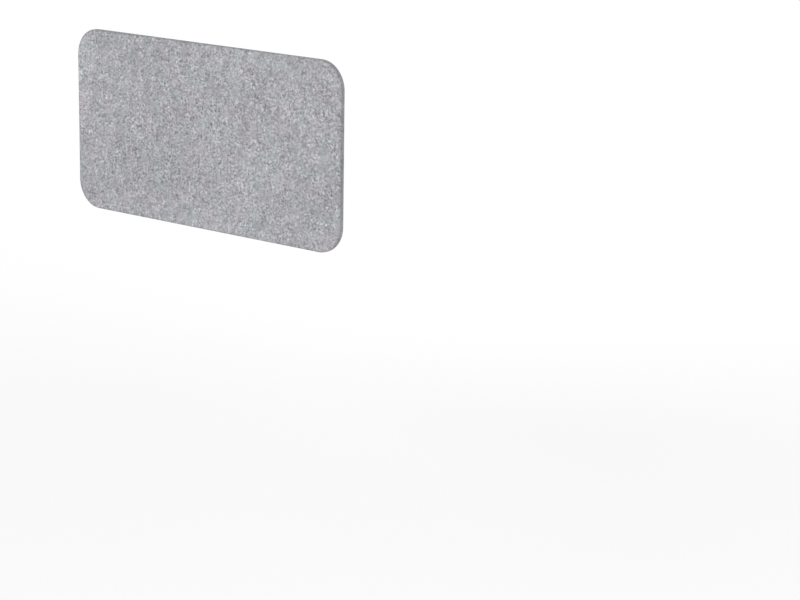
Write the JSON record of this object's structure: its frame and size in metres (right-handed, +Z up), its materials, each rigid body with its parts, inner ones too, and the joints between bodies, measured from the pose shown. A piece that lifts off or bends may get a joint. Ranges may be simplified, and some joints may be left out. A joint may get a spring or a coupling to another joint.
{
  "type": "acoustic divider screen",
  "caption": "Grey felt desk-end divider screen: flat laminated acoustic panel with round corners, carried by folded steel brackets that screw under the worktop.",
  "frame": {"origin": "centre of the four fixing slots, on the plane of the worktop's underside, which is the top face of the foot pads", "axes": "+X along the screen's width, to the right as seen from outside the desk; +Y inward over the desk; +Z up"},
  "size_m": [0.8, 0.119, 0.412],
  "materials": {
    "felt": "matte",
    "core_board": "matte",
    "bracket_paint": "satin",
    "zinc_steel": "satin",
    "pad_rubber": "matte"
  },
  "bodies": {
    "root": {"outer_felt": "felt", "panel_core": "core_board", "inner_felt": "felt", "left_bracket": "bracket_paint", "right_bracket": "bracket_paint", "left_panel_screws": "zinc_steel", "right_panel_screws": "zinc_steel", "left_tee_nuts": "zinc_steel", "right_tee_nuts": "zinc_steel", "left_foot_pad": "pad_rubber", "right_foot_pad": "pad_rubber", "left_edge_pads": "pad_rubber", "right_edge_pads": "pad_rubber"}
  },
  "joints": []
}
